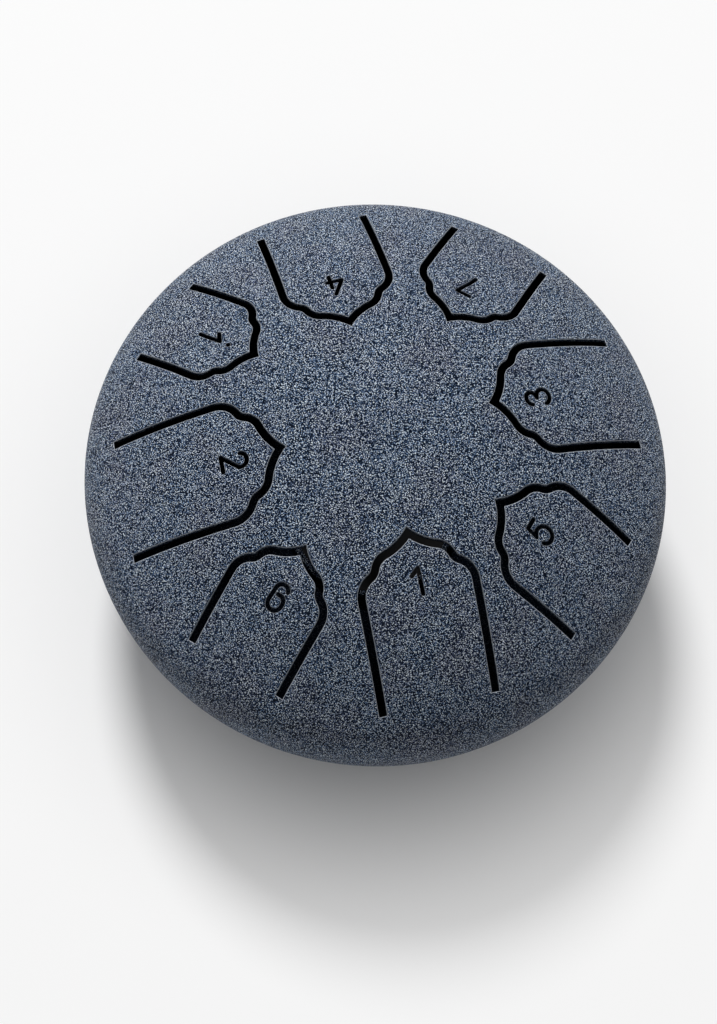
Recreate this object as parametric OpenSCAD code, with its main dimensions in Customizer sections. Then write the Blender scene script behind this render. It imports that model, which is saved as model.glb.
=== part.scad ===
// Palm-sized steel tongue drum: two pressed shells welded at the rim, with eight lotus-headed tongues
// cut in the dome. The drum stands on three rubber feet, with tongue 1 towards the front (-Y).

/* [Dome] */
// Outer diameter at the weld, the widest line of the drum
drum_d = 105; // [98:1:125]
// Height of the crown above the weld
crown_h = 28.5; // [26:0.5:32]
// Radius of the rounded shoulder between crown and weld
shoulder_r = 12.5; // [10:0.5:15]
// Thickness of the pressed steel sheet
sheet_t = 1.2; // [1:0.1:1.5]

/* [Tongues] */
// Width of tongue 1 between the middles of its slots, as a share of its eighth of the circle of slot ends
tongue_fill_share = 0.5447; // [0.5:0.0001:0.58]
// Length of tongue 1 from its root line to the tip of its slot, as a share of that circle's radius
tongue_reach_share = 0.5758; // [0.52:0.0001:0.59]
// Width of the laser slot round each tongue
slot_w = 1.4; // [0.8:0.05:1.6]
// How far inside the widest line the slots end
slot_end_inset = 5.75; // [5.5:0.05:8]
// Parting line at each root, where the real sheet runs through and bends
root_gap = 0.06; // [0.05:0.01:0.1]

/* [Bowl] */
// Depth of the bottom shell below the weld
bowl_depth = 26.9; // [25:0.1:32]
// Radius of the bend between wall and base
base_bend_r = 6.5; // [5:0.5:8]
// How far the middle of that bend lies inside the widest line
base_inset = 20.1; // [19:0.1:21.5]
// Clear diameter of the sound hole, as a share of the flat base's
sound_hole_share = 0.45; // [0.4:0.01:0.48]
// Inner radius of the bend that turns the sound hole's edge inwards
lip_bend_r = 1.2; // [1:0.1:1.5]
// Straight height of the turned edge above its bend
lip_h = 1.5; // [1:0.1:3]

/* [Weld] */
// Depth of the weld groove from the outer face
weld_depth = 0.7; // [0.5:0.05:0.9]
// Half of the opening angle of the weld groove
weld_half_angle = 35; // [30:1:45]

/* [Feet] */
// Diameter of a rubber foot
foot_d = 9; // [8:0.5:9.5]
// Height of a rubber foot below its tape
foot_h = 3.6; // [3:0.1:5]
// Radius of the foot's rounded edge
foot_edge_r = 1.6; // [1.2:0.1:2]
// Clearance between a foot and the bend round the base
foot_clearance = 1.8; // [1.5:0.1:3]
// Diameter of the adhesive disc
tape_d = 8; // [7:0.5:8]
// Thickness of the adhesive disc
tape_t = 0.4; // [0.3:0.05:0.6]

/* [Hidden] */
$fn = 144;

// Tongues in note order, low 1 up to high 1. Angles run counter-clockwise from the front, seen from above.
tongue_angles = [0, 267.5, 93, 182, 45.5, 314, 138, 223];
tongue_width_shares = [1, 1.06, 1, 0.96, 1, 0.9, 0.91, 0.82];
tongue_length_shares = [1, 1.03, 0.946, 0.917, 0.819, 0.78, 0.78, 0.721];

// The lotus head, from the tip outwards: a hollow ogee, a full lobe, a hollow notch and a full shoulder.
// Each arc meets the next without a corner, and the slopes are measured down from level.
tip_slope = 45;
ogee_slope = 16;
lobe_slope = 70;
notch_slope = 25;
ogee_share = 1.07;
lobe_share = 0.32;
notch_share = 0.2;
// Turn of the outline between two of its points along an arc
arc_step = 7;

// Cuts run past the faces that they open by this much
overrun = sheet_t;

// Dome: a crown arc about the drum's axis runs into the shoulder arc
drum_r = drum_d / 2;
rim_x = drum_r - shoulder_r;
crown_r = (pow(rim_x, 2) + pow(crown_h, 2) - pow(shoulder_r, 2)) / (2 * (crown_h - shoulder_r));
crown_z = crown_h - crown_r;
crown_join_angle = atan2(-crown_z, rim_x);

// Bowl: one wall arc, upright at the weld, runs into the base bend
base_r = drum_r - base_inset;
base_bend_z = base_bend_r - bowl_depth;
bowl_wall_r = (pow(base_inset, 2) + pow(base_bend_z, 2) - pow(base_bend_r, 2))
    / (2 * (base_inset - base_bend_r));
wall_x = drum_r - bowl_wall_r;
wall_low_angle = atan2(base_bend_z, base_r - wall_x);

// Turned edge of the sound hole
lip_outer_r = lip_bend_r + sheet_t;
sound_hole_r = sound_hole_share * base_r;
lip_x = sound_hole_r + lip_outer_r;
lip_z = lip_outer_r - bowl_depth;

// Heights in the standing drum
seam_z = bowl_depth + tape_t + foot_h;
foot_circle_r = base_r - foot_clearance - foot_d / 2;

// Circle of the slots' ends, and the size of tongue 1 that it sets
slot_end_r = drum_r - slot_end_inset;
tongue_w = tongue_fill_share * 2 * PI * slot_end_r / len(tongue_angles);
tongue_l = tongue_reach_share * slot_end_r;

steel_blue = [0.20, 0.27, 0.37];
weld_blue = [0.17, 0.23, 0.32];
rubber_black = [0.08, 0.08, 0.09];
tape_grey = [0.55, 0.56, 0.58];

function along(angle) = [cos(angle), sin(angle)];

// Outward normal of an outline that falls away at this slope
function head_normal(slope) = [sin(slope), cos(slope)];

function half_width(i) = tongue_width_shares[i] * tongue_w / 2;
function length_of(i) = tongue_length_shares[i] * tongue_l;
function root_of(i) = sqrt(pow(slot_end_r, 2) - pow(half_width(i), 2));

// Centres and radii of the head's arcs, for a half width w, with the tip at the origin
function ogee_c(w) = ogee_share * w * head_normal(tip_slope);
function lobe_c(w) = ogee_c(w) - (ogee_share + lobe_share) * w * head_normal(ogee_slope);
function notch_c(w) = lobe_c(w) + (lobe_share + notch_share) * w * head_normal(lobe_slope);
function shoulder_radius(w) =
    (w - notch_c(w)[0] + notch_share * w * sin(notch_slope)) / (1 - sin(notch_slope));
function shoulder_c(w) = notch_c(w) - (notch_share * w + shoulder_radius(w)) * head_normal(notch_slope);

// Sector of a disc, between two angles
module sector(centre, r, from_angle, to_angle) {
    reach = 2 * r;
    middle = (from_angle + to_angle) / 2;
    translate(centre)
        intersection() {
            circle(r = r);
            polygon([[0, 0], reach * along(from_angle), reach * along(middle), reach * along(to_angle)]);
        }
}

// Half section of all that lies within one face of the dome, this deep in the sheet, above the weld
module dome_inside(depth) {
    sector([0, crown_z], crown_r - depth, crown_join_angle, 90);
    translate([rim_x, 0])
        circle(r = shoulder_r - depth);
}

// Half section of all that lies within one face of the bowl, this deep in the sheet
module bowl_inside(depth) {
    sector([wall_x, 0], bowl_wall_r - depth, wall_low_angle, 0);
    translate([base_r, base_bend_z])
        circle(r = base_bend_r - depth);
    translate([0, depth - bowl_depth])
        square([base_r, bowl_depth - depth]);
}

// Half section of the dome, from the axis down to the weld
module dome_section() {
    intersection() {
        difference() {
            dome_inside(0);
            dome_inside(sheet_t);
        }
        square([drum_r + overrun, crown_h + overrun]);
    }
}

// Half section of the bowl, from the weld down to the start of the sound hole's turned edge
module bowl_wall_section() {
    intersection() {
        difference() {
            bowl_inside(0);
            bowl_inside(sheet_t);
        }
        translate([lip_x, -bowl_depth - overrun])
            square([drum_r, bowl_depth + 2 * overrun]);
    }
}

// Half section of the turned edge: a quarter bend with a straight run above it
module lip_section() {
    translate([lip_x, lip_z])
        intersection() {
            difference() {
                circle(r = lip_outer_r);
                circle(r = lip_bend_r);
            }
            translate([-lip_outer_r, -lip_outer_r])
                square(lip_outer_r);
        }
    translate([sound_hole_r, lip_z])
        square([sheet_t, lip_h]);
}

// V groove round the weld, pointing inwards
module weld_groove() {
    depth = weld_depth + overrun;
    half = depth * tan(weld_half_angle);
    translate([drum_r - weld_depth, 0])
        polygon([[0, 0], [depth, half], [depth, -half]]);
}

// Points along an arc from one slope to another, without its last; a hollow arc has a negative radius
function arc_points(centre, r, from_slope, to_slope) =
    let (steps = ceil(abs(to_slope - from_slope) / arc_step))
    [for (k = [0:steps - 1]) centre + r * head_normal(from_slope + (to_slope - from_slope) * k / steps)];

// Right half of a tongue's outline, from the root at -y up to the tip, which is at the origin.
// The middle of the slot is at grow = 0, and a positive grow widens the outline all round.
function half_outline(w, l, grow) =
    let (
        ogee = ogee_c(w),
        ogee_r = ogee_share * w - grow,
        tip = asin(ogee[0] / ogee_r)
    )
    concat(
        [[w + grow, -l]],
        arc_points(shoulder_c(w), shoulder_radius(w) + grow, 90, notch_slope),
        arc_points(notch_c(w), grow - notch_share * w, notch_slope, lobe_slope),
        arc_points(lobe_c(w), lobe_share * w + grow, lobe_slope, ogee_slope),
        arc_points(ogee, -ogee_r, ogee_slope, tip)
    );

module tongue_outline(w, l, grow) {
    ogee = ogee_c(w);
    right = half_outline(w, l, grow);
    tip_y = ogee[1] - sqrt(pow(ogee_share * w - grow, 2) - pow(ogee[0], 2));
    left = [for (k = [len(right) - 1:-1:0]) [-right[k][0], right[k][1]]];
    polygon(concat(right, [[0, tip_y]], left));
}

// Upright prism over tongue i, grown by half a slot either way, down to its root line
module tongue_prism(i, grow, root_shift) {
    rotate(tongue_angles[i])
        translate([0, length_of(i) - root_of(i), seam_z])
            linear_extrude(height = crown_h + overrun)
                tongue_outline(half_width(i), length_of(i) + root_shift, grow);
}

module dome() {
    translate([0, 0, seam_z])
        rotate_extrude()
            difference() {
                dome_section();
                weld_groove();
            }
}

module top_shell() {
    color(steel_blue)
        difference() {
            dome();
            for (i = [0:len(tongue_angles) - 1])
                tongue_prism(i, slot_w / 2, root_gap);
        }
}

module tongue(i) {
    color(steel_blue)
        intersection() {
            dome();
            tongue_prism(i, -slot_w / 2, 0);
        }
}

module bottom_shell() {
    color(steel_blue)
        translate([0, 0, seam_z])
            rotate_extrude()
                difference() {
                    union() {
                        bowl_wall_section();
                        lip_section();
                    }
                    weld_groove();
                }
}

module weld_seam() {
    color(weld_blue)
        translate([0, 0, seam_z])
            rotate_extrude()
                intersection() {
                    translate([rim_x, 0])
                        circle(r = shoulder_r);
                    weld_groove();
                }
}

module at_foot(angle) {
    rotate(angle)
        translate([foot_circle_r, 0, 0])
            children();
}

// Rubber bumper: a straight top edge and a rounded one where it stands
module foot(angle) {
    color(rubber_black)
        at_foot(angle)
            rotate_extrude() {
                translate([0, foot_edge_r])
                    square([foot_d / 2, foot_h - foot_edge_r]);
                square([foot_d / 2 - foot_edge_r, foot_edge_r]);
                translate([foot_d / 2 - foot_edge_r, foot_edge_r])
                    intersection() {
                        circle(r = foot_edge_r);
                        translate([0, -foot_edge_r])
                            square(foot_edge_r);
                    }
            }
}

module foot_tape(angle) {
    color(tape_grey)
        at_foot(angle)
            translate([0, 0, foot_h])
                cylinder(h = tape_t, d = tape_d);
}

top_shell();
tongue(0);  // tongue_1
tongue(1);  // tongue_2
tongue(2);  // tongue_3
tongue(3);  // tongue_4
tongue(4);  // tongue_5
tongue(5);  // tongue_6
tongue(6);  // tongue_7
tongue(7);  // tongue_high_1
bottom_shell();
weld_seam();
foot(90);  // foot_back
foot(210);  // foot_left
foot(330);  // foot_right
foot_tape(90);  // foot_tape_back
foot_tape(210);  // foot_tape_left
foot_tape(330);  // foot_tape_right
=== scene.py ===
"""Looks of the palm-sized steel tongue drum: coated shells, lotus-headed tongues, weld and feet."""

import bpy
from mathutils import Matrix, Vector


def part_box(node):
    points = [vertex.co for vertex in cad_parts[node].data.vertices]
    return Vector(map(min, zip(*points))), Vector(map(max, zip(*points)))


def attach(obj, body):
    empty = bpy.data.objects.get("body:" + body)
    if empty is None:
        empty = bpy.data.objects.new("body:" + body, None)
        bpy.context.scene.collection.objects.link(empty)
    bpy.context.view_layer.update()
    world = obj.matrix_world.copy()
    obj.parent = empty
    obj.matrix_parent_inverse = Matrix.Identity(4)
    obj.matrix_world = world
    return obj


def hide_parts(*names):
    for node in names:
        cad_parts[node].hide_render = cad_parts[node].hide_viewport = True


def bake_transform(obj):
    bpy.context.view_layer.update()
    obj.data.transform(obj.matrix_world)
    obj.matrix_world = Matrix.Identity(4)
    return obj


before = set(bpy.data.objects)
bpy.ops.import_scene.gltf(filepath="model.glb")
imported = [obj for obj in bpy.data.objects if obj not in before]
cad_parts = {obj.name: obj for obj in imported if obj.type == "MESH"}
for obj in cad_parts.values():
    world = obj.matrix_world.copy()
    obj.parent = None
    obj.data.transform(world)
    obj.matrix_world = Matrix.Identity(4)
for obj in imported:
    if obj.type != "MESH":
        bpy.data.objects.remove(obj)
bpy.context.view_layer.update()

import logging
import math
from dataclasses import dataclass, field
from enum import Enum
from typing import Sequence

import bmesh
import bpy
import numpy as np
from mathutils import Matrix, Vector
from mathutils.geometry import delaunay_2d_cdt

LOG = logging.getLogger("tongue_drum")
MM = 0.001

# The coat's mark on every point of a shell or tongue: 1 where the edge is pale, a thinner coat with a painted
# highlight, 0 plain, -1 painted shade down the cuts and inside the drum
EDGE = "cut_edge"
# Marks of the rows down a cut: pale edge rows first, then painted shade down the wall
CUT_MARKS = (1.0, 0.9, -0.3, -1.0, -1.0)
INSIDE_SHADE_MARK = -1.0

# Edges that turn more than this stay sharp
SHARP_DEG = 40.0

# Least distance of a face's inner points from its border, in spacings
CLEAR_SHARE = 0.45

# A step that rounding would shorten to less than this share is left out
SHRUNK_SHARE = 0.2

# A point as near as this to a true curve lies on it
NEAR_MM = 1e-3

Point = tuple[float, float]
Place = tuple[float, float, float]


class Slot(Enum):
    """The record's material slots."""

    COATED_STEEL = "coated_steel"
    RUBBER = "rubber"
    TAPE = "tape"


# Shader sums


class Sig:
    """A node's output socket that reads like a number in shader sums."""

    def __init__(self, bench: "Bench", socket: bpy.types.NodeSocket | None) -> None:
        """Wraps an output socket of the bench that makes the Math nodes."""
        self.bench = bench
        self.socket = socket

    def _math(self, operation: str, *operands: "Sig | float") -> "Sig":
        """Result of one Math node over sockets or numbers, in order."""
        return self.bench.add("ShaderNodeMath", {"operation": operation}, dict(enumerate(operands)))

    def __add__(self, other: "Sig | float") -> "Sig":
        """Sum."""
        return self._math("ADD", self, other)

    __radd__ = __add__

    def __sub__(self, other: "Sig | float") -> "Sig":
        """Difference."""
        return self._math("SUBTRACT", self, other)

    def __rsub__(self, other: float) -> "Sig":
        """Difference from a number."""
        return self._math("SUBTRACT", other, self)

    def __mul__(self, other: "Sig | float") -> "Sig":
        """Product."""
        return self._math("MULTIPLY", self, other)

    __rmul__ = __mul__

    def sine(self) -> "Sig":
        """Sine of an angle in radians."""
        return self._math("SINE", self)

    def turn_from(self, along: "Sig") -> "Sig":
        """Angle in radians of the direction with these parts, this one being the second."""
        return self._math("ARCTAN2", self, along)

    def eased(self, low: float, high: float) -> "Sig":
        """Smooth step from 0 at low to 1 at high.

        Args:
            low: Value that gives 0.
            high: Value that gives 1.

        Returns:
            The eased mask.
        """
        return self.bench.add(
            "ShaderNodeMapRange",
            {"interpolation_type": "SMOOTHSTEP"},
            {"Value": self, "From Min": low, "From Max": high},
        )


class Bench:
    """A material's node tree, with one method that makes any node."""

    def __init__(self, name: str) -> None:
        """Starts an empty node material.

        Args:
            name: The material's name.
        """
        self.material = bpy.data.materials.new(name)
        self.material.use_nodes = True
        self.tree = self.material.node_tree
        self.tree.nodes.clear()

    def add(
        self, kind: str, settings: dict | None = None, inputs: dict | None = None, out: int | str = 0
    ) -> Sig:
        """Makes one node.

        Args:
            kind: Blender's node type.
            settings: Properties set before the sockets.
            inputs: Socket names or numbers, with values or links.
            out: The output socket that is returned.

        Returns:
            The chosen output, or an empty one for a node that has none.
        """
        node = self.tree.nodes.new(kind)
        for key, value in (settings or {}).items():
            setattr(node, key, value)
        for key, value in (inputs or {}).items():
            socket = node.inputs[key]
            if isinstance(value, Sig):
                self.tree.links.new(value.socket, socket)
            elif socket.type == "RGBA":
                socket.default_value = (*value, 1.0)
            else:
                socket.default_value = value
        return Sig(self, node.outputs[out] if node.outputs else None)

    def spots(self, feature_mm: float, detail: float = 2.0, roughness: float = 0.5) -> Sig:
        """Noise of this blotch size, about 0.5 on average, with its octaves and the finer ones' weight."""
        sockets = {"Vector": self.place(), "Scale": 1.0 / (feature_mm * MM), "Detail": detail}
        return self.add("ShaderNodeTexNoise", {}, {**sockets, "Roughness": roughness})

    def place(self) -> Sig:
        """Object coordinates, in metres."""
        return self.add("ShaderNodeTexCoord", out="Object")

    def pebbles(self, feature_mm: float, smoothness: float = 0.6) -> Sig:
        """Rounded cells: 0 in the middle of a cell, rising towards its border.

        Args:
            feature_mm: Size of one cell.
            smoothness: How softly the cells run together.

        Returns:
            The distance to the nearest cell's middle, in cells.
        """
        return self.add(
            "ShaderNodeTexVoronoi",
            {"feature": "SMOOTH_F1"},
            {"Vector": self.place(), "Scale": 1.0 / (feature_mm * MM), "Smoothness": smoothness},
            out="Distance",
        )

    def blend(self, share: Sig, first: "Sig | tuple", second: "Sig | tuple") -> Sig:
        """Mix of two colours, by the second one's share."""
        return self.add("ShaderNodeMix", {"data_type": "RGBA"}, {0: share, 6: first, 7: second}, out=2)

    def bump(self, height: Sig, relief_mm: float, strength: float = 1.0) -> Sig:
        """Normals that follow a height, given in shares of the relief."""
        depth = {"Height": height, "Strength": strength, "Distance": relief_mm * MM}
        return self.add("ShaderNodeBump", {}, depth)

    def seen(self) -> Sig:
        """Mask of what the camera sees, also in a mirror or through glass.

        Returns:
            1 there, else 0.
        """
        rays = self.add("ShaderNodeLightPath", out="Is Camera Ray")
        outputs = rays.socket.node.outputs
        return rays + Sig(self, outputs["Is Glossy Ray"]) + Sig(self, outputs["Is Transmission Ray"])

    def finish(self, **sockets: "Sig | float | tuple") -> bpy.types.Material:
        """Joins everything to one Principled shader.

        Args:
            sockets: The shader's sockets, with _ for a space.

        Returns:
            The material.
        """
        named = {key.replace("_", " "): value for key, value in sockets.items()}
        self.show(self.add("ShaderNodeBsdfPrincipled", {}, named))
        return self.material

    def show(self, shader: Sig) -> None:
        """Joins a shader to the material's output."""
        self.add("ShaderNodeOutputMaterial", {}, {"Surface": shader})


# Finishes


@dataclass(frozen=True)
class PowderCoat:
    """Textured powder coat: a fine wrinkled skin, its valleys painted dark navy as shade, its crests painted
    pale as glints, its edges pale as thin coat and painted highlight, and painted shade down the cuts.
    """

    name: str = "steel_blue_powder_coat"
    valley_shade: tuple = (0.003, 0.008, 0.020)
    body: tuple = (0.146, 0.245, 0.435)
    glint_crest: tuple = (0.88, 0.95, 0.99)
    warm: tuple = (0.182, 0.206, 0.338)
    thin_coat_and_highlight: tuple = (0.50, 0.54, 0.60)
    grain_mm: float = 0.16
    grain_weight: float = 0.7
    pebble_mm: float = 0.24
    pebble_weight: float = 0.45
    pebble_softness: float = 0.35
    relief_mm: float = 0.35
    valley_shade_span: Point = (0.63, 0.59)
    glint_crest_span: Point = (0.68, 0.705)
    drift_mm: float = 8.0
    drift_span: Point = (0.40, 0.70)
    drift_share: float = 0.7
    thin_coat_and_highlight_share: float = 0.85
    wall_shade_share: float = 0.9
    edge_smoothness: float = 0.8
    roughness: float = 0.52
    crest_polish: float = 0.18
    gloss: float = 0.06
    ripple_count: int = 0
    ripple_height: float = 0.18

    def material(self) -> bpy.types.Material:
        """Builds the coat.

        Returns:
            The node material.
        """
        bench = Bench(self.name)
        grain = bench.spots(self.grain_mm, detail=1.0, roughness=0.5)
        pebbles = bench.pebbles(self.pebble_mm, self.pebble_softness)
        skin = grain * self.grain_weight + (1.0 - pebbles) * self.pebble_weight
        # Painted shade and painted glints: the grain's valleys are painted near-black navy as shade in the
        # pits, and its crests nearly white as glints of light
        valley_shade = skin.eased(*self.valley_shade_span)
        glint_crest = skin.eased(*self.glint_crest_span)
        drift = bench.spots(self.drift_mm).eased(*self.drift_span)
        base = bench.blend(drift * self.drift_share, self.body, self.warm)
        base = bench.blend(valley_shade, base, self.valley_shade)
        base = bench.blend(glint_crest, base, self.glint_crest)
        edge = bench.add("ShaderNodeAttribute", {"attribute_name": EDGE}, out="Fac")
        # Pale cut edges: partly the thinner coat on the rounding, partly a painted highlight of light on it
        base = bench.blend(edge * self.thin_coat_and_highlight_share, base, self.thin_coat_and_highlight)
        # Painted shade: the cut walls and the drum's inside take the valleys' near-black colour
        base = bench.blend(edge * -self.wall_shade_share, base, self.valley_shade)
        height = skin + self._ripple(bench) if self.ripple_count else skin
        smooth = edge.eased(0.0, 1.0) * self.edge_smoothness
        return bench.finish(
            Base_Color=base,
            Roughness=self.roughness - glint_crest * self.crest_polish,
            Specular_IOR_Level=self.gloss,
            Normal=bench.bump(height * (1.0 - smooth), self.relief_mm),
        )

    def _ripple(self, bench: Bench) -> Sig:
        """Faint ripples of a ground weld, round the drum's axis.

        Args:
            bench: The material's bench.

        Returns:
            The ripples' height.
        """
        along = bench.add("ShaderNodeSeparateXYZ", {}, {0: bench.place()}, out="X")
        across = Sig(bench, along.socket.node.outputs["Y"])
        return (across.turn_from(along) * self.ripple_count).sine() * self.ripple_height


@dataclass(frozen=True)
class BumperRubber:
    """Matt black moulded rubber with a trace of dust."""

    name: str = "black_bumper_rubber"
    colour: tuple = (0.018, 0.018, 0.020)
    dust: tuple = (0.075, 0.074, 0.072)
    grain_mm: float = 0.18
    dust_mm: float = 1.4
    dust_span: Point = (0.52, 0.8)
    dust_share: float = 0.5
    relief_mm: float = 0.03

    def material(self) -> bpy.types.Material:
        """Builds the rubber.

        Returns:
            The node material.
        """
        bench = Bench(self.name)
        fine = bench.spots(self.grain_mm, detail=3.0, roughness=0.6)
        dust = bench.spots(self.dust_mm, detail=4.0, roughness=0.65).eased(*self.dust_span)
        return bench.finish(
            Base_Color=bench.blend(dust * self.dust_share, self.colour, self.dust),
            Roughness=0.62 + fine * 0.2,
            Normal=bench.bump(fine, self.relief_mm, strength=0.35),
        )


@dataclass(frozen=True)
class FoamTape:
    """Pale foam of the adhesive discs, with small open pores, painted darker as the shade in them."""

    name: str = "pale_foam_tape"
    colour: tuple = (0.50, 0.51, 0.53)
    pore_shade: tuple = (0.24, 0.25, 0.26)
    pore_mm: float = 0.16
    pore_span: Point = (0.25, 0.75)
    relief_mm: float = 0.03

    def material(self) -> bpy.types.Material:
        """Builds the foam.

        Returns:
            The node material.
        """
        bench = Bench(self.name)
        pores = bench.pebbles(self.pore_mm).eased(*self.pore_span)
        return bench.finish(
            # Painted shade: the pores are painted darker
            Base_Color=bench.blend(pores, self.colour, self.pore_shade),
            Roughness=0.85,
            Normal=bench.bump(1.0 - pores, self.relief_mm, strength=0.5),
        )


@dataclass(frozen=True)
class PaleFloor:
    """Pale floor, nearly white round the drum, with its shadow, and painted shade right under it. Sizes in
    mm.
    """

    name: str = "pale_floor"
    colour: tuple = (0.93, 0.93, 0.93)
    mottle: tuple = (0.90, 0.90, 0.90)
    mottle_mm: float = 60.0
    mottle_share: float = 0.1
    shade: tuple = (0.03, 0.03, 0.033)
    shade_r: float = 22.0
    white_share: float = 0.6
    plain_r: float = 36.0
    white_r: float = 90.0

    def material(self) -> bpy.types.Material:
        """Builds the floor.

        Returns:
            The node material.
        """
        bench = Bench(self.name)
        mottle = bench.spots(self.mottle_mm, detail=1.0)
        length = {"operation": "LENGTH"}
        from_axis = bench.add("ShaderNodeVectorMath", length, {0: bench.place()}, out="Value")
        # Painted shade: the floor right under the drum is painted near black
        shade_beneath = from_axis.eased(self.plain_r * MM, self.shade_r * MM)
        tint = bench.blend(mottle * self.mottle_share, self.colour, self.mottle)
        tint = bench.blend(shade_beneath, tint, self.shade)
        lit = bench.add("ShaderNodeBsdfPrincipled", {}, {"Base Color": tint, "Roughness": 0.8})
        white = bench.add("ShaderNodeEmission", {}, {"Color": (1.0, 1.0, 1.0), "Strength": 1.0})
        clear_of_drum = from_axis.eased(self.plain_r * MM, self.white_r * MM)
        share = bench.seen() * clear_of_drum * self.white_share
        bench.show(bench.add("ShaderNodeMixShader", {}, {0: share, 1: lit, 2: white}))
        return bench.material


# The pressed sheet


def arc(centre: Point, radius: float, start: float, stop: float, steps: int) -> list[Point]:
    """Points of an arc, both ends included, with angles in degrees."""
    turns = [math.radians(start + (stop - start) * k / steps) for k in range(steps + 1)]
    return [(centre[0] + radius * math.cos(t), centre[1] + radius * math.sin(t)) for t in turns]


@dataclass(frozen=True)
class Crown:
    """The dome's crown: two concentric sphere caps, a sheet apart. Sizes in mm."""

    radius: float = 70.5
    centre_z: float = -11.1
    sheet: float = 1.2

    def _on(self, radius: float, x: float, y: float) -> float:
        """Height of a cap of this radius over a plan point."""
        return self.centre_z + math.sqrt(radius * radius - x * x - y * y)

    def outer(self, x: float, y: float) -> float:
        """Height of the outer face over a plan point."""
        return self._on(self.radius, x, y)

    def inner(self, x: float, y: float) -> float:
        """Height of the inner face over a plan point."""
        return self._on(self.radius - self.sheet, x, y)


@dataclass(frozen=True)
class Shoulder:
    """The rounded shoulder that both shells turn at the weld. Sizes in mm."""

    ring_r: float = 40.0
    radius: float = 12.5
    seam_z: float = 30.9
    join_angle: float = math.degrees(math.atan2(42.0, 40.0))
    weld_depth: float = 0.7
    weld_half_angle: float = 35.0

    @property
    def drum_r(self) -> float:
        """Radius of the widest line."""
        return self.ring_r + self.radius

    @property
    def groove_half(self) -> float:
        """Half width of the weld groove at the widest line."""
        return self.weld_depth * math.tan(math.radians(self.weld_half_angle))

    @property
    def groove_angle(self) -> float:
        """Angle on the shoulder where the weld groove's flank comes out."""
        return math.degrees(math.asin(self.groove_half / self.radius))


@dataclass
class CutLoop:
    """A closed cut through the sheet, seen from above, with the metal on its left. Sizes in mm."""

    points: list[Point]
    rounding: float
    plain: frozenset = frozenset()

    def pushed(self, amount: float) -> list[Point]:
        """The loop moved into the metal by an amount, apart from its plain edges.

        Args:
            amount: Distance, in mm.

        Returns:
            The moved points, in the same order.
        """
        count = len(self.points)
        moved = []
        for i, (x, y) in enumerate(self.points):
            before = self.points[i - 1]
            after = self.points[(i + 1) % count]
            n1 = _left_normal(before, (x, y))
            n2 = _left_normal((x, y), after)
            d1 = 0.0 if (i - 1) % count in self.plain else amount
            d2 = 0.0 if i in self.plain else amount
            cross = n1[0] * n2[1] - n1[1] * n2[0]
            if abs(cross) < 0.05:
                share = (d1 + d2) / 2 / (1 + n1[0] * n2[0] + n1[1] * n2[1])
                moved.append((x + share * (n1[0] + n2[0]), y + share * (n1[1] + n2[1])))
            else:
                moved.append((x + (d1 * n2[1] - d2 * n1[1]) / cross, y + (n1[0] * d2 - n2[0] * d1) / cross))
        return moved

    def unfolded(self) -> "CutLoop":
        """The loop without the points that the rounding would push past their neighbours.

        Returns:
            The loop that can be rounded.
        """
        points = list(self.points)
        while True:
            moved = CutLoop(points, self.rounding).pushed(self.rounding)
            count = len(points)
            for i in range(count):
                j = (i + 1) % count
                kept = (points[j][0] - points[i][0], points[j][1] - points[i][1])
                now = (moved[j][0] - moved[i][0], moved[j][1] - moved[i][1])
                if kept[0] * now[0] + kept[1] * now[1] < SHRUNK_SHARE * (kept[0] ** 2 + kept[1] ** 2):
                    points[i] = ((points[i][0] + points[j][0]) / 2, (points[i][1] + points[j][1]) / 2)
                    points.pop(j)
                    break
            else:
                return CutLoop(points, self.rounding)

    def rows(self, crown: Crown) -> list[list[Place]]:
        """Rows of points from the outer face, over the rounded edge and down the wall, to the inner face.

        Args:
            crown: The caps that the cut runs between.

        Returns:
            Rows of points in mm; the first lies on the outer face and the last on the inner one.
        """
        rows = []
        over, under = (0.0, 30.0, 60.0, 90.0), (90.0, 45.0, 0.0)
        for turns, face, way in ((over, crown.outer, -1), (under, crown.inner, 1)):
            for turn in turns:
                dent = way * self.rounding * (1 - math.cos(math.radians(turn)))
                plan = self.pushed(self.rounding * (1 - math.sin(math.radians(turn))))
                rows.append([(x, y, face(x, y) + dent) for x, y in plan])
        return rows


def _left_normal(start: Point, stop: Point) -> Point:
    """Unit normal on the left of a step.

    Args:
        start: Where the step starts.
        stop: Where it stops.

    Returns:
        The normal.
    """
    dx, dy = stop[0] - start[0], stop[1] - start[1]
    length = math.hypot(dx, dy)
    return (-dy / length, dx / length)


def thinned(points: Sequence[Point], gap: float) -> list[Point]:
    """Drops points that lie closer than a gap to the one before, round a closed loop.

    Args:
        points: The loop.
        gap: Least distance, in mm.

    Returns:
        The kept points.
    """
    kept = [points[0]]
    for p in points[1:]:
        if math.dist(p, kept[-1]) >= gap:
            kept.append(p)
    if math.dist(kept[0], kept[-1]) < gap:
        kept.pop()
    return kept


def stepped(start: Point, stop: Point, gap: float) -> list[Point]:
    """Points along a straight line, its last point left out.

    Args:
        start: First point.
        stop: Last point.
        gap: Longest step, in mm.

    Returns:
        The points from start on.
    """
    count = max(1, math.ceil(math.dist(start, stop) / gap))
    return [
        (start[0] + (stop[0] - start[0]) * k / count, start[1] + (stop[1] - start[1]) * k / count)
        for k in range(count)
    ]


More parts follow.
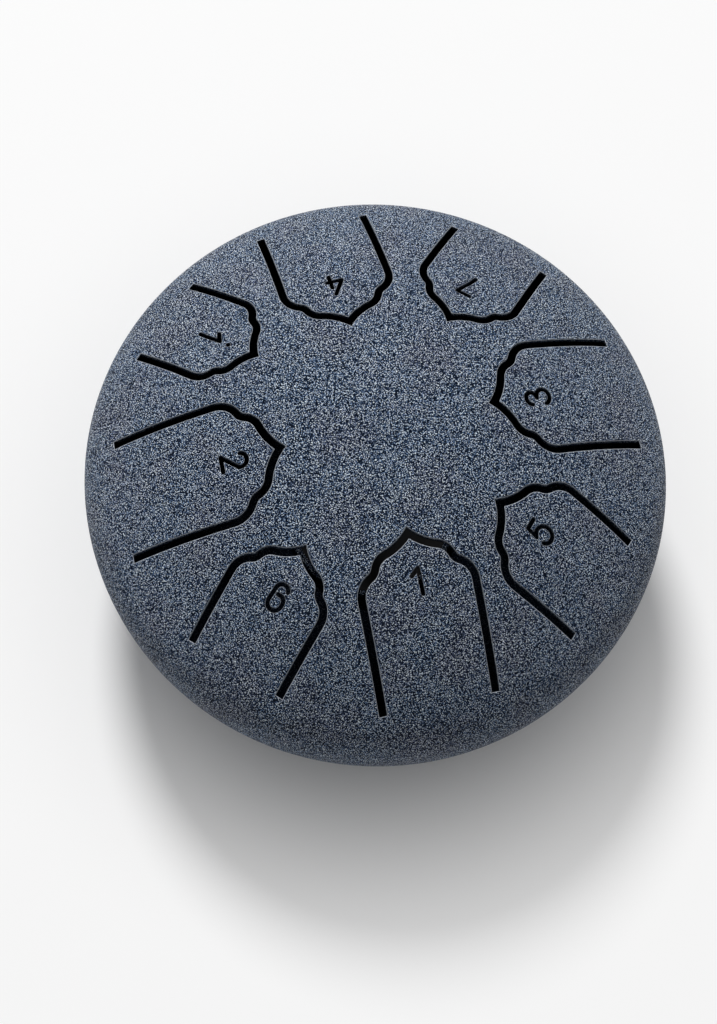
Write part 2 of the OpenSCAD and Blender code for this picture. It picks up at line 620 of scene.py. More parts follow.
def inside(places: np.ndarray, loops: Sequence[Sequence[Point]]) -> np.ndarray:
    """Which places lie within an odd number of loops.

    Args:
        places: Plan points, one a row.
        loops: Closed loops.

    Returns:
        One truth value for each place.
    """
    odd = np.zeros(len(places), bool)
    x, y = places[:, 0], places[:, 1]
    for loop in loops:
        ring = np.array(loop)
        for (x1, y1), (x2, y2) in zip(ring, np.roll(ring, -1, axis=0)):
            if y1 == y2:
                continue
            crosses = ((y1 > y) != (y2 > y)) & (x < (x2 - x1) * (y - y1) / (y2 - y1) + x1)
            odd ^= crosses
    return odd


def clearance(places: np.ndarray, loops: Sequence[Sequence[Point]]) -> np.ndarray:
    """Distance of each place from the nearest loop.

    Args:
        places: Plan points, one a row.
        loops: Closed loops.

    Returns:
        One distance for each place, in mm.
    """
    least = np.full(len(places), np.inf)
    for loop in loops:
        ring = np.array(loop)
        for start, along in zip(ring, np.roll(ring, -1, axis=0) - ring):
            from_start = places - start
            share = np.clip(from_start @ along / (along @ along), 0, 1)
            least = np.minimum(least, np.hypot(*(from_start - share[:, None] * along).T))
    return least


class SheetForm:
    """A closed piece of the pressed crown, cut through along plan loops, with rounded edges."""

    def __init__(
        self, crown: Crown, cuts: Sequence[CutLoop], rim: Sequence[Point] = (), pitch: float = 1.1
    ) -> None:
        """Lays the outer and inner faces and joins them along every cut.

        Args:
            crown: The crown's caps.
            cuts: The cuts, with the metal on their left.
            rim: An outer ring that stays open, for the shoulder to run on from.
            pitch: Spacing of the points between the cuts, in mm.
        """
        self.crown = crown
        self.bm = bmesh.new()
        self.edge = self.bm.verts.layers.float.new(EDGE)
        rows = [cut.rows(crown) for cut in cuts]
        rings = [[(x, y) for x, y, _ in row[0]] for row in rows]
        if rim:
            rings.append(list(rim))
        verts = self._lay_face(rings, pitch)
        under = self._copy_under()
        for ring, row in zip(verts, rows):
            self._skirt(ring, row[1:], [under[v] for v in ring], CUT_MARKS)
        self.rim = verts[-1] if rim else []
        self.rim_under = [under[v] for v in self.rim]

    def _lay_face(self, rings: list[list[Point]], pitch: float) -> list[list[bmesh.types.BMVert]]:
        """Fills the outer face between the rings with even triangles.

        Args:
            rings: Border loops in plan.
            pitch: Spacing of the points between them.

        Returns:
            The border vertices, ring by ring.
        """
        border = np.array([p for ring in rings for p in ring])
        low, high = border.min(axis=0), border.max(axis=0)
        lattice = [
            (low[0] + (i + 0.5 * (j % 2)) * pitch, low[1] + (j + 0.5) * pitch * math.sqrt(0.75))
            for j in range(int((high[1] - low[1]) / pitch / math.sqrt(0.75)) + 1)
            for i in range(int((high[0] - low[0]) / pitch) + 2)
        ]
        grid = np.array(lattice)
        grid = grid[inside(grid, rings)]
        grid = grid[clearance(grid, rings) > CLEAR_SHARE * pitch]
        edges, first = [], 0
        for ring in rings:
            count = len(ring)
            edges += [(first + k, first + (k + 1) % count) for k in range(count)]
            first += count
        flat = [Vector(p) for p in (*map(tuple, border), *map(tuple, grid))]
        places, _, faces, origins, _, _ = delaunay_2d_cdt(flat, edges, [], 0, 1e-5)
        middles = np.array([np.mean([places[i][:] for i in face], axis=0) for face in faces])
        kept = inside(middles, rings)
        made = [self.bm.verts.new((p.x, p.y, self.crown.outer(p.x, p.y))) for p in places]
        for face, keep in zip(faces, kept):
            if keep:
                self.bm.faces.new([made[i] for i in face])
        found = {origin: made[i] for i, group in enumerate(origins) for origin in group}
        bmesh.ops.delete(self.bm, geom=[v for v in made if not v.link_faces], context="VERTS")
        verts, first = [], 0
        for ring in rings:
            verts.append([found[first + k] for k in range(len(ring))])
            first += len(ring)
        return verts

    def _copy_under(self) -> dict:
        """Copies the outer face to the inner cap.

        Returns:
            The copy of each outer vertex.
        """
        geometry = [*self.bm.verts, *self.bm.edges, *self.bm.faces]
        copied = bmesh.ops.duplicate(self.bm, geom=geometry)
        pairs = copied["vert_map"]
        originals = {v for v in geometry if isinstance(v, bmesh.types.BMVert)}
        for v in originals:
            twin = pairs[v]
            twin.co.z = self.crown.inner(twin.co.x, twin.co.y)
            # Painted shade: the sheet's inner face, inside the drum, is painted dark
            twin[self.edge] = INSIDE_SHADE_MARK
        faces = [part for part in copied["geom"] if isinstance(part, bmesh.types.BMFace)]
        bmesh.ops.reverse_faces(self.bm, faces=faces)
        return {v: pairs[v] for v in originals}

    def _skirt(
        self, ring: list, rows: Sequence[Sequence[Place]], under: list, marks: Sequence[float] = ()
    ) -> None:
        """Extrudes a border ring through rows of places and welds the last row to the inner face.

        Args:
            ring: Border vertices on the outer face.
            rows: Places of the rows, in mm; the last is the inner border's own.
            under: Border vertices on the inner face.
            marks: Marks of the first rows: 1 where the coat is drawn thin and painted pale as a highlight, -1
                down in the cut, where shade is painted.
        """
        for row, mark in zip(rows, (*marks, *[0.0] * len(rows))):
            ring = self._next_row(ring)
            for v, place in zip(ring, row):
                v.co = place
                v[self.edge] = mark
        bmesh.ops.weld_verts(self.bm, targetmap=dict(zip(ring, under)))

    def _next_row(self, ring: list) -> list:
        """Extrudes a ring of edges once.

        Args:
            ring: Vertices in order round the ring.

        Returns:
            The new vertices, in the same order.
        """
        edges = [self.bm.edges.get((a, b)) for a, b in zip(ring, ring[1:] + ring[:1])]
        made = bmesh.ops.extrude_edge_only(self.bm, edges=edges)["geom"]
        new = {v for v in made if isinstance(v, bmesh.types.BMVert)}
        return [next(o for o in (e.other_vert(v) for e in v.link_edges) if o in new) for v in ring]

    def run_on(self, section: Sequence[Point]) -> None:
        """Carries the open rim on along a section and back to the inner face.

        Args:
            section: Section points (r, z) after the rim, the last one being the inner rim's own.
        """
        reach = [math.hypot(v.co.x, v.co.y) for v in self.rim]
        rows = []
        for r, z in section:
            rows.append([(v.co.x / out * r, v.co.y / out * r, z) for v, out in zip(self.rim, reach)])
        self._skirt(self.rim, rows, self.rim_under)


def spun(bm: bmesh.types.BMesh, section: list, steps: int) -> None:
    """Spins a section once round the upright axis and merges the seam and the poles.

    Args:
        bm: The mesh that holds the section.
        section: Its vertices and edges.
        steps: Number of steps in the full turn.
    """
    round_axis = {"cent": (0, 0, 0), "axis": (0, 0, 1), "angle": 2 * math.pi}
    bmesh.ops.spin(bm, geom=section, steps=steps, use_merge=True, **round_axis)
    bmesh.ops.remove_doubles(bm, verts=bm.verts, dist=1e-4)


def finished(bm: bmesh.types.BMesh, name: str, material: bpy.types.Material) -> bpy.types.Object:
    """Turns a bmesh in mm into a smooth-shaded piece in metres.

    Args:
        bm: The closed mesh, which is freed.
        name: The piece's name.
        material: Its finish.

    Returns:
        The new object.
    """
    bmesh.ops.recalc_face_normals(bm, faces=bm.faces)
    for face in bm.faces:
        face.smooth = True
    for edge in bm.edges:
        if len(edge.link_faces) == 2 and edge.calc_face_angle(0.0) > math.radians(SHARP_DEG):
            edge.smooth = False
    bmesh.ops.scale(bm, vec=(MM, MM, MM), verts=bm.verts)
    mesh = bpy.data.meshes.new(name)
    bm.to_mesh(mesh)
    bm.free()
    mesh.materials.append(material)
    piece = bpy.data.objects.new(name, mesh)
    bpy.context.scene.collection.objects.link(piece)
    LOG.info("%s: %d faces", name, len(mesh.polygons))
    return piece


def true_normals(piece: bpy.types.Object, crown: Crown, shoulder: Shoulder) -> None:
    """Gives the pressed faces the normals of their true curves, and leaves the cut edges' own.

    Args:
        piece: A piece of the dome.
        crown: The crown's caps.
        shoulder: The rounded shoulder.
    """
    mesh = piece.data
    co = np.zeros(len(mesh.vertices) * 3)
    mesh.vertices.foreach_get("co", co)
    co = co.reshape(-1, 3) / MM
    normals = np.zeros_like(co)
    out = np.hypot(co[:, 0], co[:, 1])
    from_centre = co - (0.0, 0.0, crown.centre_z)
    reach = np.linalg.norm(from_centre, axis=1)
    join_r = crown.radius * math.cos(math.radians(shoulder.join_angle))
    ring = co * (1, 1, 0) * (shoulder.ring_r / np.maximum(out, 1e-6))[:, None] + (0, 0, shoulder.seam_z)
    from_ring = co - ring
    round_r = np.linalg.norm(from_ring, axis=1)
    for depth, sign in ((0.0, 1.0), (crown.sheet, -1.0)):
        on_cap = (np.abs(reach - crown.radius + depth) < NEAR_MM) & (out < join_r)
        on_shoulder = (np.abs(round_r - shoulder.radius + depth) < NEAR_MM) & (out >= join_r - depth)
        normals[on_cap] = sign * from_centre[on_cap] / reach[on_cap, None]
        normals[on_shoulder] = sign * from_ring[on_shoulder] / round_r[on_shoulder, None]
    mesh.normals_split_custom_set_from_vertices([tuple(n) for n in normals])


# Tongues


@dataclass(frozen=True)
class LotusHead:
    """Outline of a tongue's head as four arcs, in shares of its half width; slopes in degrees below level."""

    tip_slope: float = 45.0
    ogee_slope: float = 16.0
    lobe_slope: float = 70.0
    notch_slope: float = 25.0
    ogee_share: float = 1.07
    lobe_share: float = 0.32
    notch_share: float = 0.2
    step: float = 4.0

    @staticmethod
    def _normal(slope: float) -> np.ndarray:
        """Outward normal of an outline that falls away at this slope."""
        return np.array([math.sin(math.radians(slope)), math.cos(math.radians(slope))])

    def _arc(self, centre: np.ndarray, radius: float, start: float, stop: float) -> list[Point]:
        """Points of one arc from one slope to another.

        Args:
            centre: Centre of the arc.
            radius: Its radius, negative where it is hollow.
            start: First slope, in degrees.
            stop: Last slope.

        Returns:
            The points, the last one left out.
        """
        count = math.ceil(abs(stop - start) / self.step)
        slopes = [start + (stop - start) * k / count for k in range(count)]
        return [tuple(centre + radius * self._normal(slope)) for slope in slopes]

    def half(self, w: float, length: float, grow: float) -> list[Point]:
        """Right half of a tongue's outline, from its root up to its tip, which is at the origin.

        Args:
            w: Half width to the middle of the slot.
            length: Length to the middle of the slot.
            grow: How far the outline is widened all round.

        Returns:
            The points, the tip's included.
        """
        ogee_c = self.ogee_share * w * self._normal(self.tip_slope)
        lobe_c = ogee_c - (self.ogee_share + self.lobe_share) * w * self._normal(self.ogee_slope)
        notch_c = lobe_c + (self.lobe_share + self.notch_share) * w * self._normal(self.lobe_slope)
        sine = math.sin(math.radians(self.notch_slope))
        shoulder_r = (w - notch_c[0] + self.notch_share * w * sine) / (1 - sine)
        shoulder_c = notch_c - (self.notch_share * w + shoulder_r) * self._normal(self.notch_slope)
        ogee_r = self.ogee_share * w - grow
        tip = math.degrees(math.asin(ogee_c[0] / ogee_r))
        leg_top = (w + grow, float(shoulder_c[1]))
        return [
            *stepped((w + grow, -length), leg_top, 0.8),
            *self._arc(shoulder_c, shoulder_r + grow, 90.0, self.notch_slope),
            *self._arc(notch_c, grow - self.notch_share * w, self.notch_slope, self.lobe_slope),
            *self._arc(lobe_c, self.lobe_share * w + grow, self.lobe_slope, self.ogee_slope),
            *self._arc(ogee_c, -ogee_r, self.ogee_slope, tip),
            (0.0, float(ogee_c[1] - math.sqrt(ogee_r**2 - ogee_c[0] ** 2))),
        ]


@dataclass(frozen=True)
class Bow:
    """An elliptical run of a digit's stroke; angles in degrees."""

    x: float
    y: float
    rx: float
    ry: float
    start: float
    stop: float

    def points(self) -> list[Point]:
        """Points along the bow.

        Returns:
            The points, both ends included.
        """
        count = math.ceil(abs(self.stop - self.start) / 9.0)
        turns = [math.radians(self.start + (self.stop - self.start) * k / count) for k in range(count + 1)]
        return [(self.x + self.rx * math.cos(t), self.y + self.ry * math.sin(t)) for t in turns]


Stroke = tuple


class Digits:
    """Plain stencil digits, 5 mm high, of round-ended strokes, x to the reader's right and y up."""

    WIDTH = 0.78
    GAP = 0.07
    SLACK = 0.004
    ONE: Stroke = ((-0.86, 3.42), (0.42, 4.48), (0.48, 0.33))
    STROKES: dict[str, tuple[Stroke, ...]] = {
        "1": (ONE,),
        "2": ((Bow(0.28, 3.52, 1.22, 1.15, 172, -25), (-1.12, 0.36), (1.52, 0.36)),),
        "3": (
            (Bow(-0.35, 3.72, 1.15, 0.95, 175, -68), (-0.36, 2.70)),
            ((-0.36, 2.70), Bow(-0.22, 1.50, 1.35, 1.17, 68, -165)),
        ),
        "4": (((0.62, 4.47), (-1.16, 1.58), (1.52, 1.58)), ((0.88, 2.90), (0.88, 0.33))),
        "5": (((1.30, 4.68), (-0.58, 4.68), (-0.88, 2.70), Bow(0.30, 1.80, 1.38, 1.47, 132, -155)),),
        "6": (
            (
                Bow(0.48, 3.70, 1.12, 1.00, 15, 178),
                Bow(0.45, 1.62, 1.27, 1.29, 180, 360),
                Bow(0.75, 1.92, 0.97, 1.0, 8, 90),
                (0.24, 2.92),
            ),
        ),
        "7": (((-0.80, 4.64), (1.60, 4.64), (0.95, 3.05), (0.38, 1.65), (0.00, 0.35)),),
        "high 1": (ONE, ((0.40, 6.20), (0.40, 6.30))),
    }

    @classmethod
    def paths(cls, digit: str) -> list[list[Point]]:
        """Centre lines of a digit's strokes.

        Args:
            digit: Its name in STROKES.

        Returns:
            Dense polylines.
        """
        paths = []
        for stroke in cls.STROKES[digit]:
            corners: list[Point] = []
            for move in stroke:
                corners += move.points() if isinstance(move, Bow) else [move]
            paths.append(corners)
        return paths

    @classmethod
    def capsule(cls, path: Sequence[Point]) -> list[Point]:
        """Outline of one round-ended stroke.

        Args:
            path: Its centre line.

        Returns:
            A closed loop, counter-clockwise.
        """
        half = cls.WIDTH / 2

        def fan(centre: Point, normal: Point, turns: Sequence[float]) -> list[Point]:
            """Points round a centre.

            Args:
                centre: The centre.
                normal: Unit normal on the left of the step that ends there.
                turns: Angles on from the right of that step, in radians.

            Returns:
                One point for each angle.
            """
            base = math.atan2(-normal[1], -normal[0])
            x, y = centre
            return [(x + half * math.cos(base + t), y + half * math.sin(base + t)) for t in turns]

        def side(line: Sequence[Point]) -> list[Point]:
            """The right side of a line and the round end at its last point.

            Args:
                line: The line's points.

            Returns:
                The outline's points on that side.
            """
            out = []
            for i in range(len(line)):
                first = _left_normal(line[max(i - 1, 0)], line[max(i, 1)])
                last = _left_normal(line[min(i, len(line) - 2)], line[min(i + 1, len(line) - 1)])
                along = first[0] * last[0] + first[1] * last[1]
                turn = math.atan2(first[0] * last[1] - first[1] * last[0], along)
                if turn > math.radians(20):
                    count = math.ceil(math.degrees(turn) / 15)
                    out += fan(line[i], first, [turn * k / count for k in range(count + 1)])
                else:
                    share = half / (1 + along)
                    x, y = line[i]
                    out.append((x - share * (first[0] + last[0]), y - share * (first[1] + last[1])))
            return out + fan(line[-1], _left_normal(line[-2], line[-1]), np.radians(range(18, 180, 18)))

        return side(path) + side(list(reversed(path)))

    @classmethod
    def outlines(cls, digit: str) -> list[list[Point]]:
        """Border loops of a digit, its strokes run together.

        Args:
            digit: Its name in STROKES.

        Returns:
            Closed loops, clockwise, so that the metal round the digit is on their left.
        """
        paths = cls.paths(digit)
        points: list[Point] = []
        edges = []
        for path in paths:
            loop = cls.capsule(path)
            edges += [(len(points) + k, len(points) + (k + 1) % len(loop)) for k in range(len(loop))]
            points += loop
        places, _, faces, _, _, _ = delaunay_2d_cdt([Vector(p) for p in points], edges, [], 0, 1e-4)
        bm = bmesh.new()
        verts = [bm.verts.new((p.x, p.y, 0)) for p in places]
        for face in faces:
            middle = np.mean([places[i][:] for i in face], axis=0)
            if min(_reach(middle, path) for path in paths) < cls.WIDTH / 2 - cls.SLACK:
                bm.faces.new([verts[i] for i in face])
        loops = []
        left = {e for e in bm.edges if len(e.link_faces) == 1}
        while left:
            edge = left.pop()
            here, loop = edge.verts[1], [edge.verts[0], edge.verts[1]]
            while here is not loop[0]:
                edge = next(e for e in here.link_edges if e in left)
                left.discard(edge)
                here = edge.other_vert(here)
                loop.append(here)
            ring = thinned([(v.co.x, v.co.y) for v in loop[:-1]], cls.GAP)
            area = sum(a[0] * b[1] - b[0] * a[1] for a, b in zip(ring, ring[1:] + ring[:1]))
            loops.append(ring if area < 0 else ring[::-1])
        bm.free()
        return loops


def _reach(place: Sequence[float], path: Sequence[Point]) -> float:
    """Distance from a place to a line of points.

    Args:
        place: The place.
        path: The line's points.

    Returns:
        The distance to its nearest step, in mm.
    """
    a = np.array(path[:-1])
    b = np.array(path[1:])
    along = b - a
    share = np.clip(((np.array(place) - a) * along).sum(1) / (along**2).sum(1), 0, 1)
    return float(np.hypot(*(np.array(place) - a - share[:, None] * along).T).min())


@dataclass(frozen=True)
class TonguePlan:
    """One tongue in plan: its note, its turn about the drum, its size and its digit's foot. Sizes in mm."""

    node: str
    digit: str
    angle: float
    width_share: float
    length_share: float
    digit_foot_r: float
    full_width: float = 20.0
    full_length: float = 26.919
    slot_end_r: float = 46.75
    slot: float = 1.4
    stub: float = 1.0
    stub_step: float = 0.34
    root_step: float = 0.3
    split_step: float = 1.1
    edge_rounding: float = 0.15
    digit_rounding: float = 0.07
    head: LotusHead = LotusHead()

    @property
    def w(self) -> float:
        """Half width to the middle of the slots."""
        return self.width_share * self.full_width / 2

    @property
    def length(self) -> float:
        """Length to the middle of the slot."""
        return self.length_share * self.full_length

    @property
    def root_r(self) -> float:
        """Distance of the root line from the axis."""
        return math.sqrt(self.slot_end_r**2 - self.w**2)

    def turned(self, points: Sequence[Point]) -> list[Point]:
        """Turns points from the front tongue's place to this tongue's."""
        c, s = math.cos(math.radians(self.angle)), math.sin(math.radians(self.angle))
        return [(c * x - s * y, s * x + c * y) for x, y in points]

    def _side(self, grow: float) -> list[Point]:
        """Right half of the outline in the front tongue's place, from root to tip."""
        rise = self.length - self.root_r
        return [(x, y + rise) for x, y in self.head.half(self.w, self.length, grow)]

    def _closed(self, points: Sequence[Point], start: Point, stop: Point) -> CutLoop:
        """Closes a cut by a plain edge across the tongue and turns it to the tongue's own place.

        Args:
            points: The rounded part of the cut, in the front tongue's place.
            start: Where the plain edge starts.
            stop: Where it stops.

        Returns:
            The closed cut.
        """
        across = stepped(start, stop, self.split_step)
        plain = frozenset(range(len(points), len(points) + len(across)))
        return CutLoop(self.turned([*points, *across]), self.edge_rounding, plain)

    def hole(self) -> CutLoop:
        """The slot and the tongue beyond its stub.

        Returns:
            The cut in the dome.
        """
        wi, wo = self.w - self.slot / 2, self.w + self.slot / 2
        root, split = -self.root_r, -self.root_r + self.stub
        outer = self._side(self.slot / 2)
        left = [(-x, y) for x, y in outer]
        points = [
            *stepped((-wi, split), (-wi, root), self.stub_step),
            *stepped((-wi, root), (-wo, root), self.root_step),
            *left,
            *outer[-2::-1],
            *stepped((wo, root), (wi, root), self.root_step)[1:],
            *stepped((wi, root), (wi, split), self.stub_step),
        ]
        return self._closed(points, (wi, split), (-wi, split))

    def blade(self) -> list[CutLoop]:
        """The tongue beyond its stub, with its digit cut through.

        Returns:
            Its outline and the digit's loops.
        """
        wi = self.w - self.slot / 2
        split = -self.root_r + self.stub
        inner = [p for p in self._side(-self.slot / 2) if p[1] > split + self.root_step]
        points = [(wi, split), *inner, *[(-x, y) for x, y in inner[-2::-1]]]
        loops = [self._closed(points, (-wi, split), (wi, split))]
        for ring in Digits.outlines(self.digit):
            placed = [(x, y - self.digit_foot_r) for x, y in ring]
            loops.append(CutLoop(self.turned(placed), self.digit_rounding).unfolded())
        return loops


def tongue_plans() -> list[TonguePlan]:
    """The eight tongues in note order.

    Returns:
        Their plans.
    """
    return [
        TonguePlan("tongue_1", "1", 0.0, 1.0, 1.0, 29.18),
        TonguePlan("tongue_2", "2", 267.5, 1.06, 1.03, 28.35),
        TonguePlan("tongue_3", "3", 93.0, 1.0, 0.946, 30.88),
        TonguePlan("tongue_4", "4", 182.0, 0.96, 0.917, 32.0),
        TonguePlan("tongue_5", "5", 45.5, 1.0, 0.819, 34.55),
        TonguePlan("tongue_6", "6", 314.0, 0.9, 0.78, 35.8),
        TonguePlan("tongue_7", "7", 138.0, 0.91, 0.78, 35.8),
        TonguePlan("tongue_high_1", "high 1", 223.0, 0.82, 0.721, 38.12),
    ]


# Sub-assemblies


@dataclass
class DomeAssembly:
    """The pressed dome with its eight tongues."""

    coat: bpy.types.Material
    crown: Crown = field(default_factory=Crown)
    shoulder: Shoulder = field(default_factory=Shoulder)
    plans: list[TonguePlan] = field(default_factory=tongue_plans)
    rim_r: float = 47.75
    rim_next_r: float = 48.2
    rim_points: int = 300
    bend_length: float = 7.0

    def build(self) -> None:
        """Builds the dome and its tongues."""
        self._dome()
        for plan in self.plans:
            self._tongue(plan)

    def _dome(self) -> None:
        """The dome, from its crown to the weld groove."""
        turns = [2 * math.pi * k / self.rim_points for k in range(self.rim_points)]
        rim = [(self.rim_r * math.cos(t), self.rim_r * math.sin(t)) for t in turns]
        form = SheetForm(self.crown, [plan.hole() for plan in self.plans], rim, pitch=1.3)
        form.run_on(self._shoulder_section())
        piece = finished(form.bm, "top_shell_coated", self.coat)
        true_normals(piece, self.crown, self.shoulder)
        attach(piece, "shell")
        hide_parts("top_shell")

    def _shoulder_section(self) -> list[Point]:
        """Section of the shoulder after the crown's rim.

        Returns:
            Points (r, z) in mm: out, round the groove, and back inside.
        """
        s = self.shoulder
        ring = (s.ring_r, s.seam_z)
        return [
            (self.rim_next_r, self.crown.outer(self.rim_next_r, 0.0)),
            *arc(ring, s.radius, s.join_angle, s.groove_angle, 14),
            (s.drum_r - s.weld_depth, s.seam_z),
            *arc(ring, s.radius - self.crown.sheet, 0.0, s.join_angle, 8),
            (self.rim_r, self.crown.inner(self.rim_r, 0.0)),
        ]

    def _tongue(self, plan: TonguePlan) -> None:
        """One tongue beyond its stub, from which the real tongue bends.

        Args:
            plan: The tongue's plan.
        """
        form = SheetForm(self.crown, plan.blade(), pitch=0.9)
        piece = finished(form.bm, f"{plan.node}_coated", self.coat)
        true_normals(piece, self.crown, self.shoulder)
        start_r = plan.root_r - plan.stub
        (x0, y0), (x1, y1) = plan.turned([(0.0, -start_r), (0.0, self.bend_length - start_r)])
        level = self.crown.outer(x0, y0) * MM
        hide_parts(plan.node)
        x0 * MM
        y0 * MM
        x1 * MM
        y1 * MM
        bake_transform(piece)


@dataclass
class BowlAssembly:
    """The pressed bowl with its turned sound hole, and the ground weld round the seam. Sizes in mm."""

    coat: bpy.types.Material
    weld_coat: bpy.types.Material
    shoulder: Shoulder = field(default_factory=Shoulder)
    sheet: float = 1.2
    depth: float = 26.9
    wall_r: float = 28.6
    bend_r: float = 6.5
    base_r: float = 32.4
    hole_r: float = 14.58
    lip_bend_r: float = 1.2
    lip_h: float = 1.5
    turns: int = 300

    def build(self) -> None:
        """Builds the bowl and the weld."""
        self._bowl()
        self._weld()

    def _faces(self, inset: float) -> list[Point]:
        """Section of one face of the bowl, from the seam down to the start of the lip's bend.

        Args:
            inset: Depth of the face within the sheet.

        Returns:
            Section points, with z from the seam.
        """
        s = self.shoulder
        bend_z = self.bend_r - self.depth
        wall_x = s.drum_r - self.wall_r
        low = math.degrees(math.atan2(bend_z, self.base_r - wall_x))
        first = -math.degrees(math.asin(s.groove_half / self.wall_r)) if inset == 0.0 else 0.0
        return [
            *arc((wall_x, 0.0), self.wall_r - inset, first, low, 26),
            *arc((self.base_r, bend_z), self.bend_r - inset, low, -90.0, 8)[1:],
        ]

    def _section(self) -> tuple[list[Point], list[Point]]:
        """Closed section of the bowl, with z from the seam.

        Returns:
            The points on the outside, then those that follow inside the drum.
        """
        s = self.shoulder
        outer = self._faces(0.0)
        inner = self._faces(self.sheet)
        lip_outer = self.lip_bend_r + self.sheet
        lip_x = self.hole_r + lip_outer
        lip_z = lip_outer - self.depth
        top_z = lip_z + self.lip_h
        nose = self.sheet / 2
        floor_z = self.sheet - self.depth
        outside = [
            *outer,
            *stepped((self.base_r - 3.0, -self.depth), (lip_x, -self.depth), 4.0),
            *arc((lip_x, lip_z), lip_outer, 270.0, 180.0, 9),
            *arc((self.hole_r + nose, top_z - nose), nose, 180.0, 0.0, 8),
        ]
        within = [
            *arc((lip_x, lip_z), self.lip_bend_r, 180.0, 270.0, 7),
            *stepped((lip_x + 3.0, floor_z), (self.base_r - 1.0, floor_z), 4.0),
            *inner[::-1],
            (s.drum_r - s.weld_depth, 0.0),
        ]
        return outside, within

    def _spin(
        self, outside: Sequence[Point], within: Sequence[Point], name: str, material: bpy.types.Material
    ) -> bpy.types.Object:
        """Turns a closed section round the axis.

        Args:
            outside: Section points (r, z from the seam) on the outside.
            within: The points that follow inside the drum, where the coat is painted dark as shade.
            name: The piece's name.
            material: Its finish.

        Returns:
            The piece.
        """
        bm = bmesh.new()
        edge = bm.verts.layers.float.new(EDGE)
        verts = [bm.verts.new((r, 0.0, z + self.shoulder.seam_z)) for r, z in (*outside, *within)]
        # Painted shade: the bowl's inside is painted dark
        for v in verts[len(outside):]:
            v[edge] = INSIDE_SHADE_MARK
        edges = [bm.edges.new((a, b)) for a, b in zip(verts, verts[1:] + verts[:1])]
        spun(bm, verts + edges, self.turns)
        return finished(bm, name, material)

    def _bowl(self) -> None:
        """The bottom shell."""
        piece = self._spin(*self._section(), "bottom_shell_coated", self.coat)
        weight = piece.modifiers.new("even_shading", "WEIGHTED_NORMAL")
        weight.keep_sharp = True
        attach(piece, "shell")
        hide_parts("bottom_shell")

    def _weld(self) -> None:
        """The weld bead, ground flush with both shells."""
        s = self.shoulder
        section = [
            (s.drum_r - s.weld_depth, 0.0),
            *arc((s.ring_r, 0.0), s.radius, -s.groove_angle, s.groove_angle, 4),
        ]
        piece = self._spin(section, (), "weld_seam_coated", self.weld_coat)
        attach(piece, "shell")
        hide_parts("weld_seam")


@dataclass
class FootAssembly:
    """One rubber bumper foot on its adhesive disc. Sizes in mm."""

    place: str
    rubber: bpy.types.Material
    foam: bpy.types.Material
    edge_r: float = 1.6
    top_edge_r: float = 0.25
    turns: int = 72

    def build(self) -> None:
        """Builds the foot and dresses the disc above it."""
        node = f"foot_{self.place}"
        low, high = (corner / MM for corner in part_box(node))
        centre = (low + high) / 2
        radius = (high.x - low.x) / 2
        edge, top_edge = self.edge_r, self.top_edge_r
        section = [(0.0, low.z)]
        for t in np.radians(range(0, 91, 9)):
            section.append((radius - edge + edge * math.sin(t), low.z + edge * (1 - math.cos(t))))
        for t in np.radians(range(0, 91, 18)):
            section.append((radius - top_edge * (1 - math.cos(t)), high.z - top_edge * (1 - math.sin(t))))
        section.append((0.0, high.z))
        bm = bmesh.new()
        verts = [bm.verts.new((r, 0.0, z)) for r, z in section]
        edges = [bm.edges.new(pair) for pair in zip(verts, verts[1:])]
        spun(bm, verts + edges, self.turns)
        bmesh.ops.translate(bm, vec=(centre.x, centre.y, 0.0), verts=bm.verts)
        piece = finished(bm, f"{node}_rubber", self.rubber)
        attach(piece, "shell")
        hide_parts(node)
        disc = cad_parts[f"foot_tape_{self.place}"]
        disc.data.materials.clear()
        disc.data.materials.append(self.foam)


# Studio


def toward(polar: float, elevation: float) -> Vector:
    """Unit direction seen from the drum, with both angles in degrees."""
    p, e = math.radians(polar), math.radians(elevation)
    return Vector((math.cos(e) * math.cos(p), math.cos(e) * math.sin(p), math.sin(e)))


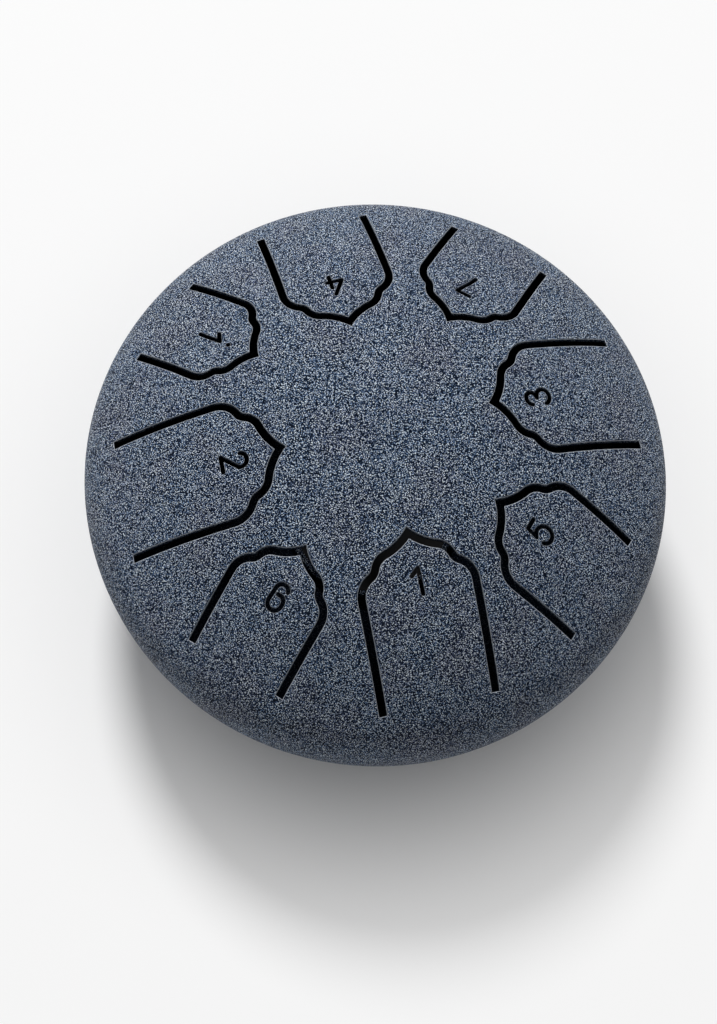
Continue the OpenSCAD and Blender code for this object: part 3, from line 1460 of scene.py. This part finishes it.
@dataclass(frozen=True)
class Studio:
    """Camera at the picture's angle, a pale floor and soft lamps."""

    polar: float = 249.481
    elevation: float = 71.666
    roll: float = 6.675
    distance: float = 0.5
    aim_right: float = -0.0023208
    aim_up: float = -0.0065368
    focal_px: float = 2766.16
    frame_px: float = 1024.0
    sensor: float = 36.0
    seam_z: float = 0.0309
    floor_half: float = 4.0
    floor_drop: float = 0.0002
    key_aim_z: float = 0.03
    key_polar: float = 90.0
    key_elevation: float = 49.0
    key_distance: float = 2.0
    key_size: float = 0.53
    key_power: float = 37.0
    sky: float = 0.22

    def build(self) -> None:
        """Builds the camera, the floor, the key lamp and the sky."""
        self._camera()
        self._floor()
        self._key()
        self._sky()

    def _camera(self) -> None:
        """The camera, placed so that the drum fills the frame as in the picture."""
        p, roll = math.radians(self.polar), math.radians(self.roll)
        eye = self.distance * toward(self.polar, self.elevation)
        right = Vector((-math.sin(p), math.cos(p), 0.0))
        up = eye.normalized().cross(right)
        aim = self.aim_right * right + self.aim_up * up
        back = (eye - aim).normalized()
        right = Vector((0, 0, 1)).cross(back).normalized()
        up = back.cross(right)
        rolled = math.cos(roll) * right + math.sin(roll) * up
        up = -math.sin(roll) * right + math.cos(roll) * up
        data = bpy.data.cameras.new("camera")
        data.sensor_width = self.sensor
        data.lens = self.sensor * self.focal_px / self.frame_px
        data.clip_start, data.clip_end = 0.01, 20.0
        camera = bpy.data.objects.new("camera", data)
        turn = Matrix((rolled, up, back)).transposed().to_4x4()
        camera.matrix_world = Matrix.Translation(eye + Vector((0, 0, self.seam_z))) @ turn
        bpy.context.scene.collection.objects.link(camera)
        bpy.context.scene.camera = camera

    def _floor(self) -> None:
        """The pale floor."""
        bm = bmesh.new()
        bmesh.ops.create_grid(bm, x_segments=1, y_segments=1, size=self.floor_half)
        mesh = bpy.data.meshes.new("floor")
        bm.to_mesh(mesh)
        bm.free()
        mesh.materials.append(PaleFloor().material())
        floor = bpy.data.objects.new("floor", mesh)
        floor.location.z = -self.floor_drop
        bpy.context.scene.collection.objects.link(floor)

    def _key(self) -> None:
        """One large soft lamp."""
        way = toward(self.key_polar, self.key_elevation)
        data = bpy.data.lights.new("key", "AREA")
        data.shape = "DISK"
        data.size = self.key_size
        data.energy = self.key_power
        lamp = bpy.data.objects.new("key", data)
        lamp.location = Vector((0.0, 0.0, self.key_aim_z)) + way * self.key_distance
        lamp.rotation_euler = way.to_track_quat("Z", "Y").to_euler()
        bpy.context.scene.collection.objects.link(lamp)

    def _sky(self) -> None:
        """Even pale light from all round."""
        world = bpy.data.worlds.new("studio")
        world.use_nodes = True
        background = world.node_tree.nodes["Background"]
        background.inputs["Color"].default_value = (1.0, 1.0, 1.0, 1.0)
        background.inputs["Strength"].default_value = self.sky
        bpy.context.scene.world = world


def main() -> None:
    """Builds every piece in order."""
    logging.basicConfig(level=logging.INFO, format="%(name)s: %(message)s")
    bpy.context.scene.view_settings.view_transform = "Standard"
    Studio().build()
    coat = PowderCoat().material()
    weld_coat = PowderCoat(name="weld_powder_coat", ripple_count=260).material()
    DomeAssembly(coat).build()
    BowlAssembly(coat, weld_coat).build()
    rubber, foam = BumperRubber().material(), FoamTape().material()
    for place in ("back", "left", "right"):
        FootAssembly(place, rubber, foam).build()


if __name__ == "__main__":
    main()
